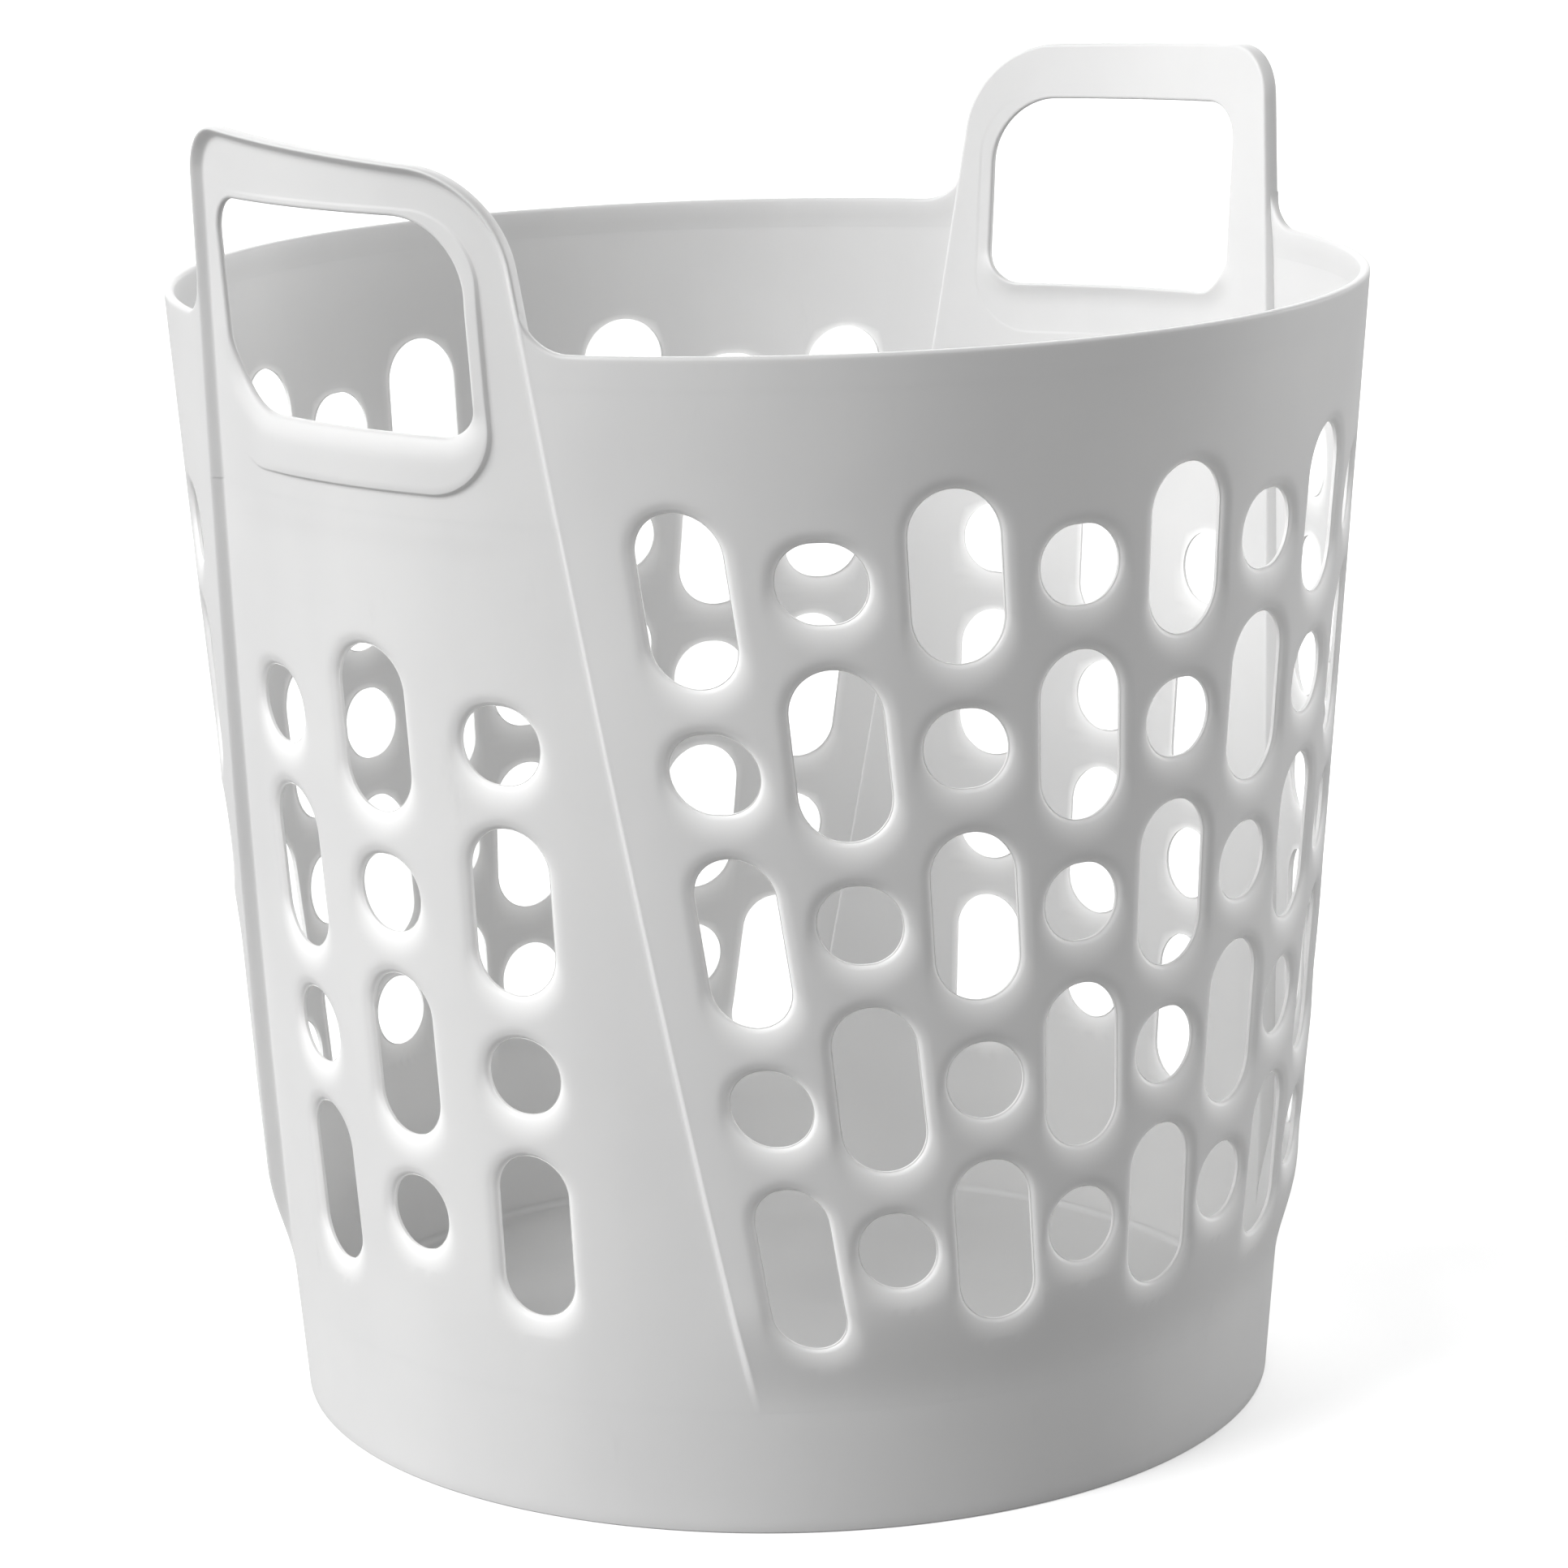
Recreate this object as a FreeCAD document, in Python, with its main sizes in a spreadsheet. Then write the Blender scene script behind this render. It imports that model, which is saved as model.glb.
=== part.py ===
"""Round tapered laundry basket with two loop handles and a field of vent holes.

The basket is one flexible plastic moulding.  It is built here region by region, each
region its own closed solid that meets its neighbours face to face: the floor, the foot
ring, the two perforated walls with their rims, and the two inset side panels that rise
above the rim as handles.

Frame: +Z up, origin at the centre of the face that the basket stands on.  The handles
lie along X (left is -X), and the front wall faces -Y.  All sizes are in millimetres and
degrees.  An azimuth is measured about +Z from -Y towards +X.
"""
import FreeCAD, Part
import math
import os

import Sketcher
from FreeCAD import Placement, Rotation, Vector

# alias, value, what it is
SIZES = [
    ("rim_height", 400.0, "standing face to the top of the rim"),
    ("rim_radius", 209.0, "outer radius at the rim"),
    ("foot_radius", 175.0, "outer radius at the standing face"),
    ("foot_height", 44.0, "height of the foot ring"),
    ("foot_taper", 3.4, "growth of the outer radius up the foot ring"),
    ("shoulder_rise", 40.0, "height over which a wall swells out above the foot ring"),
    ("shoulder_swell", 8.8, "growth of the outer radius over that height"),
    ("wall_thickness", 2.5, "thickness of every skin"),
    ("rim_band_height", 11.0, "depth of the thicker band under the rim"),
    ("rim_band_extra", 0.9, "extra thickness of that band, on the inside"),
    ("rim_fillet_radius", 14.0, "round where the rim sweeps up into a handle"),
    ("floor_height", 6.0, "underside of the floor above the standing face"),
    ("floor_thickness", 3.0, "thickness of the floor"),
    ("panel_rim_half_width", 75.5, "half width of a side panel at rim height"),
    ("panel_lean", 0.11, "growth of that half width per millimetre downwards"),
    ("panel_inset", 3.5, "how far a side panel lies inside the wall at rim height"),
    ("flank_thickness", 2.5, "thickness of the step between a panel and a wall"),
    ("handle_rise", 60.0, "rim to the top of a handle"),
    ("handle_corner_radius", 32.0, "outer top corners of a handle"),
    ("opening_side_bar", 15.5, "side bar of a handle at rim height"),
    ("opening_top_bar", 19.0, "top bar of a handle"),
    ("opening_drop", 29.0, "rim down to the lower edge of the hand opening"),
    ("opening_corner_radius", 22.0, "corners of the hand opening"),
    ("collar_height", 3.0, "how far the collar round the opening stands out"),
    ("collar_side_margin", 8.0, "collar beside the opening"),
    ("collar_bottom_margin", 20.0, "collar below the opening"),
    ("collar_top_margin", 4.0, "collar above the opening"),
    ("collar_clearance", 7.0, "collar down to where the handle ends and its panel begins"),
    ("row_top_margin", 73.0, "rim down to the centre of the top row of holes"),
    ("row_bottom_margin", 57.0, "foot ring up to the centre of the bottom row of holes"),
    ("wall_columns", 10.0, "columns of holes in a wall"),
    ("wall_rows", 5.0, "rows of holes in a wall"),
    ("wall_half_pitches", 5.35, "half of a wall's arc, counted in column spacings"),
    ("panel_columns", 3.0, "columns of holes in a side panel, from the second row down"),
    ("panel_pitch_share", 0.578, "its column spacing, as a share of half its arc at its top row"),
    ("round_height_share", 0.469, "height of a round hole, as a share of the row spacing"),
    ("bridge_share", 0.261, "skin left between two holes of a column, as such a share"),
    ("slot_top_share", 0.719, "width of a slot in the top row, as a share of the column spacing"),
    ("slot_bottom_share", 0.805, "the same in the bottom row"),
    ("round_top_share", 0.685, "width of a round hole in the top row, as such a share"),
    ("round_bottom_share", 0.772, "the same in the bottom row"),
    ("end_column_drop", 5.1, "how much lower the holes of a wall's two end columns sit"),
    ("end_slot_share", 0.9, "width of their slots, as a share of the other slots' width"),
]

# far past the basket, for cutting blocks
REACH = 400.0
# how deep a hole cutter goes through a skin
CUTTER_DEPTH = 30.0
# a cube's corner line, about which a third of a turn takes X to Y, Y to Z and Z to X
CUBE_DIAGONAL = Vector(1, 1, 1)
THIRD_TURN = 120.0
# sizes below this count as nothing
TINY = 1e-3


# ---------------------------------------------------------------- sheet and expressions

def make_sheet(doc):
    """Spreadsheet of the driving dimensions, one row each."""
    sheet = doc.addObject("Spreadsheet::Sheet", "Sizes")
    for row, (alias, value, note) in enumerate(SIZES, start=1):
        sheet.set("A%d" % row, str(value))
        sheet.setAlias("A%d" % row, alias)
        sheet.set("B%d" % row, note)
    doc.recompute()
    return sheet


def cell(alias):
    """Expression that reads one cell of the sheet."""
    return "Sizes." + alias


def total(*terms):
    """Expression for a sum of cells and expressions."""
    return "(%s)" % " + ".join(terms)


def between(low, low_at, high, high_at, height):
    """Expression for a size that grows evenly from one height to another."""
    return "(%s + (%s - %s) * (%s - %s) / (%s - %s))" % (low, high, low, height, low_at,
                                                         high_at, low_at)


FOOT_TOP_RADIUS = total(cell("foot_radius"), cell("foot_taper"))
SHOULDER_HEIGHT = total(cell("foot_height"), cell("shoulder_rise"))
SHOULDER_RADIUS = total(FOOT_TOP_RADIUS, cell("shoulder_swell"))
BAND_BOTTOM = "(%s - %s)" % (cell("rim_height"), cell("rim_band_height"))
PANEL_RIM_RADIUS = "(%s - %s)" % (cell("rim_radius"), cell("panel_inset"))
HANDLE_TOP = total(cell("rim_height"), cell("handle_rise"))
OPENING_HALF_WIDTH = "(%s - %s)" % (cell("panel_rim_half_width"), cell("opening_side_bar"))
OPENING_BOTTOM = "(%s - %s)" % (cell("rim_height"), cell("opening_drop"))
OPENING_TOP = "(%s - %s)" % (HANDLE_TOP, cell("opening_top_bar"))
COLLAR_BOTTOM = "(%s - %s)" % (OPENING_BOTTOM, cell("collar_bottom_margin"))
HANDLE_BOTTOM = "(%s - %s)" % (COLLAR_BOTTOM, cell("collar_clearance"))


def edge_expression(height):
    """Expression for half the width of a side panel at a height."""
    return "(%s + %s * (%s - (%s)))" % (cell("panel_rim_half_width"), cell("panel_lean"),
                                        cell("rim_height"), height)


def foot_radius_expression(height):
    """Expression for the outer radius of the foot ring at a height."""
    return between(cell("foot_radius"), "0", FOOT_TOP_RADIUS, cell("foot_height"), height)


def wall_radius_expression(height):
    """Expression for the outer radius of the wall at a height above the shoulder."""
    return between(SHOULDER_RADIUS, SHOULDER_HEIGHT, cell("rim_radius"), cell("rim_height"),
                   height)


def panel_radius_expression(height):
    """Expression for the outer radius of a side panel or a handle at a height."""
    return between(FOOT_TOP_RADIUS, cell("foot_height"), PANEL_RIM_RADIUS, cell("rim_height"),
                   height)


def sweep_top_expression():
    """Expression for the height where the rim's sweep runs out on a handle's edge."""
    return "(%s + %s * (1 - %s / sqrt(1 + %s ^ 2)))" % (
        cell("rim_height"), cell("rim_fillet_radius"), cell("panel_lean"), cell("panel_lean"))


class Shape:
    """The same geometry as numbers, for the holes, which are placed one by one."""

    def __init__(self, sheet):
        for alias, _, _ in SIZES:
            setattr(self, alias, float(sheet.get(alias)))
        self.foot_top_radius = self.foot_radius + self.foot_taper
        self.shoulder_height = self.foot_height + self.shoulder_rise
        self.shoulder_radius = self.foot_top_radius + self.shoulder_swell
        self.panel_rim_radius = self.rim_radius - self.panel_inset
        self.rows, self.columns = int(self.wall_rows), int(self.wall_columns)
        self.row_top = self.rim_height - self.row_top_margin
        row_bottom = self.foot_height + self.row_bottom_margin
        self.row_pitch = (self.row_top - row_bottom) / (self.rows - 1)
        self.round_height = self.round_height_share * self.row_pitch
        self.slot_height = (2.0 - 2.0 * self.bridge_share) * self.row_pitch - self.round_height
        self.panel_pitch_angle = self.panel_pitch_share * self.edge_angle(self.row_height(1))

    def row_height(self, row):
        """Height of a row's centre; rows are counted down from 0."""
        return self.row_top - row * self.row_pitch

    def wall_radius(self, height):
        """Outer radius of the wall at a height."""
        if height < self.shoulder_height:
            share = (height - self.foot_height) / self.shoulder_rise
            return self.foot_top_radius + self.shoulder_swell * share
        share = (self.rim_height - height) / (self.rim_height - self.shoulder_height)
        return self.rim_radius + (self.shoulder_radius - self.rim_radius) * share

    def panel_radius(self, height):
        """Outer radius of a side panel at a height."""
        share = (self.rim_height - height) / (self.rim_height - self.foot_height)
        return self.panel_rim_radius + (self.foot_top_radius - self.panel_rim_radius) * share

    def edge_angle(self, height):
        """Azimuth of a side panel's edge from the panel's middle at a height."""
        edge = self.panel_rim_half_width + self.panel_lean * (self.rim_height - height)
        return math.degrees(math.asin(edge / self.wall_radius(height)))

    def wall_pitch_angle(self, height):
        """Spacing of a wall's columns at a height: the columns fan out upwards."""
        return (90.0 - self.edge_angle(height)) / self.wall_half_pitches

    def hole_size(self, upright, row, at_end=False):
        """Width and height of the hole in a row; a wall's end columns have narrower slots."""
        height = self.row_height(row)
        pitch = math.radians(self.wall_pitch_angle(height)) * self.wall_radius(height)
        part = row / (self.rows - 1.0)
        if upright:
            share = self.slot_top_share + (self.slot_bottom_share - self.slot_top_share) * part
            if at_end:
                share *= self.end_slot_share
            return pitch * share, self.slot_height
        share = self.round_top_share + (self.round_bottom_share - self.round_top_share) * part
        return pitch * share, self.round_height


# ---------------------------------------------------------------- building blocks

def lathe_body(doc, name, corners):
    """Body turned about Z from a closed profile of (radius, height) expressions."""
    body = doc.addObject("PartDesign::Body", name)
    plane = [f for f in body.Origin.OriginFeatures if f.Role == "XZ_Plane"][0]
    sketch = body.newObject("Sketcher::SketchObject", name + "_profile")
    sketch.AttachmentSupport = [(plane, "")]
    sketch.MapMode = "FlatFace"
    count = len(corners)
    # corners on a bent line, so that no two start in one place; the constraints move them
    guess = [Vector(100.0 + 9.0 * i, 10.0 + 7.0 * i * i, 0.0) for i in range(count)]
    for i in range(count):
        sketch.addGeometry(Part.LineSegment(guess[i], guess[(i + 1) % count]), False)
    for i in range(count):
        sketch.addConstraint(Sketcher.Constraint("Coincident", i, 2, (i + 1) % count, 1))
    for i, (radius, height) in enumerate(corners):
        if radius is None:
            sketch.addConstraint(Sketcher.Constraint("PointOnObject", i, 1, -2))
        else:
            index = sketch.addConstraint(Sketcher.Constraint("DistanceX", -1, 1, i, 1, guess[i].x))
            sketch.setExpression("Constraints[%d]" % index, radius)
        if height is None:
            sketch.addConstraint(Sketcher.Constraint("PointOnObject", i, 1, -1))
        else:
            index = sketch.addConstraint(Sketcher.Constraint("DistanceY", -1, 1, i, 1, guess[i].y))
            sketch.setExpression("Constraints[%d]" % index, height)
    turned = body.newObject("PartDesign::Revolution", name + "_turned")
    turned.Profile = sketch
    turned.ReferenceAxis = (sketch, ["V_Axis"])
    turned.Angle = 360.0
    body.Tip = turned
    return body


def edge_wedge(doc, name, low, high, inset="0"):
    """Block right through the basket along X, as wide as a side panel at each height."""
    wedge = doc.addObject("Part::Wedge", name)
    wedge.Placement = Placement(Vector(0, 0, 0), Rotation(CUBE_DIAGONAL, THIRD_TURN))
    for corner, height in (("Xmax", low), ("X2max", high)):
        half = "%s - (%s)" % (edge_expression(height), inset)
        wedge.setExpression(corner, half)
        wedge.setExpression(corner.replace("max", "min"), "-(%s)" % half)
    wedge.setExpression("Ymin", low)
    wedge.setExpression("Ymax", high)
    for corner, value in (("Zmin", -REACH), ("Z2min", -REACH), ("Zmax", REACH), ("Z2max", REACH)):
        setattr(wedge, corner, value)
    return wedge


def block(doc, name, x, y, z):
    """Box between two expressions along each axis."""
    box = doc.addObject("Part::Box", name)
    for axis, size, (low, high) in (("x", "Length", x), ("y", "Width", y), ("z", "Height", z)):
        box.setExpression("Placement.Base." + axis, low)
        box.setExpression(size, "(%s) - (%s)" % (high, low))
    return box


def rounded_along_x(doc, name, base, radius, lowest=-REACH):
    """Base with the edges that run along X rounded, from a height upwards."""
    doc.recompute()
    picked = []
    for number, edge in enumerate(base.Shape.Edges, start=1):
        ends = [v.Point for v in edge.Vertexes]
        along_x = len(ends) == 2 and (ends[1] - ends[0]).cross(Vector(1, 0, 0)).Length < TINY
        if along_x and ends[0].z > lowest:
            picked.append((number, radius, radius))
    fillet = doc.addObject("Part::Fillet", name)
    fillet.Base = base
    fillet.Edges = picked
    return fillet


def common(doc, name, *shapes):
    """What all the shapes share."""
    result = doc.addObject("Part::MultiCommon", name)
    result.Shapes = list(shapes)
    return result


def fuse(doc, name, *shapes):
    """The shapes joined."""
    result = doc.addObject("Part::MultiFuse", name)
    result.Shapes = list(shapes)
    return result


def cut(doc, name, base, tool):
    """Base with tool taken away."""
    result = doc.addObject("Part::Cut", name)
    result.Base = base
    result.Tool = tool
    return result


# ---------------------------------------------------------------- holes

def slot_face(width, height):
    """Face of a slot with half-round ends, upright or lying, centred on the origin."""
    radius = min(width, height) / 2.0
    x, y = width / 2.0 - radius, height / 2.0 - radius
    if max(x, y) < TINY:
        return Part.Face(Part.Wire([Part.makeCircle(radius)]))
    turn = Rotation(Vector(0, 0, 1), 0.0 if y >= x else 90.0)
    reach = max(x, y)
    side = Vector(radius, 0, 0)
    top, bottom = Vector(0, reach, 0), Vector(0, -reach, 0)
    edges = [
        Part.Arc(top + side, top + Vector(0, radius, 0), top - side).toShape(),
        Part.LineSegment(top - side, bottom - side).toShape(),
        Part.Arc(bottom - side, bottom - Vector(0, radius, 0), bottom + side).toShape(),
        Part.LineSegment(bottom + side, top + side).toShape(),
    ]
    face = Part.Face(Part.Wire(edges))
    face.Placement = Placement(Vector(0, 0, 0), turn)
    return face


def hole_cutter(face, azimuth, height, radius, lean):
    """Prism through a skin: the face turned to look outwards at an azimuth and leaning."""
    tool = face.copy()
    tool.translate(Vector(0, 0, radius - CUTTER_DEPTH / 2.0))
    tool = tool.extrude(Vector(0, 0, CUTTER_DEPTH))
    outwards = Rotation(Vector(0, 0, 1), azimuth).multiply(Rotation(Vector(1, 0, 0), 90.0))
    turn = outwards.multiply(Rotation(Vector(0, 0, 1), -lean))
    tool.Placement = Placement(Vector(0, 0, height), turn).multiply(tool.Placement)
    return tool


def wall_holes(doc, name, shape, middle):
    """Cutters of one wall: slots and round holes in turn, in columns that fan out."""
    tools = []
    for row in range(shape.rows):
        for column in range(shape.columns):
            at_end = column in (0, shape.columns - 1)
            height = shape.row_height(row) - (shape.end_column_drop if at_end else 0.0)
            radius = shape.wall_radius(height)
            pitch = shape.wall_pitch_angle(height)
            growth = shape.wall_pitch_angle(height + 1.0) - pitch
            offset = column - (shape.columns - 1) / 2.0
            face = slot_face(*shape.hole_size((row + column) % 2 == 0, row, at_end))
            lean = math.degrees(math.atan(math.radians(offset * growth) * radius))
            tools.append(hole_cutter(face, middle + offset * pitch, height, radius, lean))
    holes = doc.addObject("Part::Feature", name)
    holes.Shape = Part.makeCompound(tools)
    return holes


def panel_holes(doc, name, shape, middle):
    """Cutters of one side panel: upright columns, without the top row."""
    tools = []
    columns = int(shape.panel_columns)
    for row in range(1, shape.rows):
        height = shape.row_height(row)
        radius = shape.panel_radius(height)
        for column in range(columns):
            offset = column - (columns - 1) / 2.0
            face = slot_face(*shape.hole_size((row + column) % 2 == 0, row))
            azimuth = middle + offset * shape.panel_pitch_angle
            tools.append(hole_cutter(face, azimuth, height, radius, 0.0))
    holes = doc.addObject("Part::Feature", name)
    holes.Shape = Part.makeCompound(tools)
    return holes


# ---------------------------------------------------------------- the pieces

def make_floor(doc):
    """Flat floor inside the foot ring."""
    low = cell("floor_height")
    high = "%s + %s" % (cell("floor_height"), cell("floor_thickness"))
    inside = "%s - " + cell("wall_thickness")
    return lathe_body(doc, "base_floor", [
        (None, low),
        (inside % foot_radius_expression(low), low),
        (inside % foot_radius_expression(high), high),
        (None, high),
    ])


def make_foot_ring(doc):
    """Plain band that the basket stands on."""
    high = cell("foot_height")
    inside = "%s - " + cell("wall_thickness")
    return lathe_body(doc, "foot_ring", [
        (inside % cell("foot_radius"), None),
        (cell("foot_radius"), None),
        (FOOT_TOP_RADIUS, high),
        (inside % FOOT_TOP_RADIUS, high),
    ])


def make_wall_ring(doc):
    """Skin of both walls, all the way round, from the foot ring to the rim band."""
    foot = cell("foot_height")
    inside = "%s - " + cell("wall_thickness")
    top_radius = wall_radius_expression(BAND_BOTTOM)
    return lathe_body(doc, "wall_ring", [
        (FOOT_TOP_RADIUS, foot),
        (SHOULDER_RADIUS, SHOULDER_HEIGHT),
        (top_radius, BAND_BOTTOM),
        (inside % top_radius, BAND_BOTTOM),
        (inside % SHOULDER_RADIUS, SHOULDER_HEIGHT),
        (inside % FOOT_TOP_RADIUS, foot),
    ])


def make_rim_ring(doc):
    """Rim band all the way round, as tall as the sweep up into a handle needs."""
    high = sweep_top_expression()
    inside = "%s - " + total(cell("wall_thickness"), cell("rim_band_extra"))
    return lathe_body(doc, "rim_ring", [
        (wall_radius_expression(BAND_BOTTOM), BAND_BOTTOM),
        (wall_radius_expression(high), high),
        (inside % wall_radius_expression(high), high),
        (inside % wall_radius_expression(BAND_BOTTOM), BAND_BOTTOM),
    ])


def make_panel_ring(doc):
    """Skin of both side panels and handles, all the way round."""
    low, high = cell("foot_height"), HANDLE_TOP
    inside = "%s - " + cell("wall_thickness")
    return lathe_body(doc, "panel_ring", [
        (FOOT_TOP_RADIUS, low),
        (panel_radius_expression(high), high),
        (inside % panel_radius_expression(high), high),
        (inside % FOOT_TOP_RADIUS, low),
    ])


def make_flank_ring(doc):
    """Everything between a panel's inner face and the wall's outer face."""
    low, high = cell("foot_height"), HANDLE_TOP
    inside = "%s - " + cell("wall_thickness")
    return lathe_body(doc, "flank_ring", [
        (FOOT_TOP_RADIUS, low),
        (SHOULDER_RADIUS, SHOULDER_HEIGHT),
        (cell("rim_radius"), cell("rim_height")),
        (total(panel_radius_expression(high), cell("panel_inset")), high),
        (inside % panel_radius_expression(high), high),
        (inside % FOOT_TOP_RADIUS, low),
    ])


def make_collar_ring(doc):
    """Layer on the outside of the panel skin that the collars are cut from."""
    low, high = HANDLE_BOTTOM, HANDLE_TOP
    rise = cell("collar_height")
    return lathe_body(doc, "collar_ring", [
        (panel_radius_expression(low), low),
        (total(panel_radius_expression(low), rise), low),
        (total(panel_radius_expression(high), rise), high),
        (panel_radius_expression(high), high),
    ])


def make_walls_and_rims(doc, shape):
    """Front and back wall with their rims; both stop at the side panels."""
    wall_ring = make_wall_ring(doc)
    rim_ring = make_rim_ring(doc)
    sides = edge_wedge(doc, "side_gap", cell("foot_height"), sweep_top_expression())

    # above the rim only the sweep up into the handles is left
    radius = cell("rim_fillet_radius")
    centre_height = "(%s + %s)" % (cell("rim_height"), radius)
    centre_offset = "(%s + %s * sqrt(1 + %s ^ 2))" % (edge_expression(centre_height), radius,
                                                      cell("panel_lean"))
    trims = []
    for side, sign in (("front", -1.0), ("back", 1.0)):
        round_trim = doc.addObject("Part::Cylinder", side + "_sweep")
        round_trim.setExpression("Radius", radius)
        round_trim.Height = 2.0 * REACH
        round_trim.Placement = Placement(Vector(-REACH, 0, 0), Rotation(Vector(0, 1, 0), 90.0))
        round_trim.setExpression("Placement.Base.y", "%g * %s" % (sign, centre_offset))
        round_trim.setExpression("Placement.Base.z", centre_height)
        low, high = (centre_offset, str(REACH)) if sign > 0 else (str(-REACH), "-" + centre_offset)
        flat_trim = block(doc, side + "_rim_top", (str(-REACH), str(REACH)), (low, high),
                          (cell("rim_height"), str(2.0 * REACH)))
        trims += [round_trim, flat_trim]

    nodes = []
    for side, middle, (low, high) in (("front", 0.0, (0.0, REACH)), ("back", 180.0, (-REACH, 0.0))):
        far_side = block(doc, side + "_keep_off", (str(-REACH), str(REACH)), (str(low), str(high)),
                         ("0", str(2.0 * REACH)))
        holes = wall_holes(doc, side + "_wall_holes", shape, middle)
        wall_tools = fuse(doc, side + "_wall_tools", far_side, sides)
        blank = cut(doc, side + "_wall_blank", wall_ring, wall_tools)
        nodes.append(cut(doc, side + "_wall", blank, holes))
        rim_tools = fuse(doc, side + "_rim_tools", far_side, sides, *trims)
        nodes.append(cut(doc, side + "_rim", rim_ring, rim_tools))
    return nodes


def make_sides(doc, shape):
    """Left and right side panel, each with its handle above it."""
    panel_ring = make_panel_ring(doc)
    flank_ring = make_flank_ring(doc)
    collar_ring = make_collar_ring(doc)
    foot, flank = cell("foot_height"), cell("flank_thickness")

    panel_outline = edge_wedge(doc, "panel_outline", foot, HANDLE_BOTTOM)
    panel_inside = edge_wedge(doc, "panel_inside", foot, HANDLE_BOTTOM, flank)
    panel_edge = cut(doc, "panel_edge", panel_outline, panel_inside)

    handle_outline = rounded_along_x(
        doc, "handle_outline", edge_wedge(doc, "handle_block", HANDLE_BOTTOM, HANDLE_TOP),
        shape.handle_corner_radius, shape.rim_height)
    handle_inside = rounded_along_x(
        doc, "handle_inside", edge_wedge(doc, "handle_inner_block", HANDLE_BOTTOM,
                                         "%s - %s" % (HANDLE_TOP, flank), flank),
        shape.handle_corner_radius - shape.flank_thickness, shape.rim_height)
    handle_edge = cut(doc, "handle_edge", handle_outline, handle_inside)

    opening = rounded_along_x(doc, "opening", block(
        doc, "opening_block", (str(-REACH), str(REACH)),
        ("-" + OPENING_HALF_WIDTH, OPENING_HALF_WIDTH), (OPENING_BOTTOM, OPENING_TOP)),
        shape.opening_corner_radius)
    collar_half_width = total(OPENING_HALF_WIDTH, cell("collar_side_margin"))
    collar_outline = rounded_along_x(doc, "collar_outline", block(
        doc, "collar_block", (str(-REACH), str(REACH)),
        ("-" + collar_half_width, collar_half_width),
        (COLLAR_BOTTOM, total(OPENING_TOP, cell("collar_top_margin")))),
        shape.opening_corner_radius + shape.collar_side_margin)

    nodes = []
    for side, middle, (low, high) in (("left", -90.0, (-REACH, 0.0)), ("right", 90.0, (0.0, REACH))):
        here = block(doc, side + "_side", (str(low), str(high)), (str(-REACH), str(REACH)),
                     ("0", str(2.0 * REACH)))
        skin = common(doc, side + "_panel_skin", panel_ring, panel_outline, here)
        step = common(doc, side + "_panel_step", flank_ring, panel_edge, here)
        blank = fuse(doc, side + "_panel_blank", skin, step)
        holes = panel_holes(doc, side + "_panel_holes", shape, middle)
        nodes.append(cut(doc, side + "_panel", blank, holes))

        loop = common(doc, side + "_handle_skin", panel_ring, handle_outline, here)
        lip = common(doc, side + "_handle_lip", flank_ring, handle_edge, here)
        collar = common(doc, side + "_handle_collar", collar_ring, collar_outline, here)
        grip = fuse(doc, side + "_handle_blank", loop, lip, collar)
        nodes.append(cut(doc, side + "_handle", grip, opening))
    return nodes


# ---------------------------------------------------------------- checks and export

def check(doc, nodes):
    """Stop if any object failed or any node is not one or more valid closed solids."""
    for item in doc.Objects:
        bad = [state for state in item.State if state in ("Invalid", "Error")]
        if bad:
            raise RuntimeError("%s is %s" % (item.Name, bad[0]))
    for node in nodes:
        shape = node.Shape
        if shape.isNull() or not shape.isValid() or not shape.Solids:
            raise RuntimeError("%s has no valid solid" % node.Label)


def main():
    """Build the document, check it and write one STEP file for each node."""
    doc = FreeCAD.newDocument("laundry_basket")
    shape = Shape(make_sheet(doc))
    nodes = [make_floor(doc), make_foot_ring(doc)]
    nodes += make_walls_and_rims(doc, shape)
    nodes += make_sides(doc, shape)
    for node in nodes:
        node.Label = node.Name
    doc.recompute()
    check(doc, nodes)
    os.makedirs("parts", exist_ok=True)
    for node in nodes:
        node.Shape.exportStep("parts/%s.step" % node.Label)
        box = node.Shape.BoundBox
        print("%-12s %d solid(s) %9.0f mm3  x %.1f..%.1f  y %.1f..%.1f  z %.1f..%.1f" % (
            node.Label, len(node.Shape.Solids), node.Shape.Volume,
            box.XMin, box.XMax, box.YMin, box.YMax, box.ZMin, box.ZMax))


main()
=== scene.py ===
"""Looks of a round, flexible laundry basket in soft white plastic with two loop handles.

The basket is one thin moulding.  Each region of it is a piece of its own that takes the
place of one node of the frame: foot ring, floor, two perforated walls with their rims, and
two inset side panels that rise above the rim as handles.  Every piece is a closed skin of
two surfaces, worked out on grids of azimuth and height, with rounded hole edges, soft
dishes round the holes, rounded steps and a raised collar round each hand opening.

Sizes are in millimetres and degrees, and meshes in metres.  An azimuth is measured about
+Z from -Y towards +X.
"""
import logging
import math
from collections.abc import Callable
from dataclasses import dataclass, field
from enum import Enum

import bmesh
import bpy
import numpy as np
from mathutils import Matrix, Vector


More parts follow.
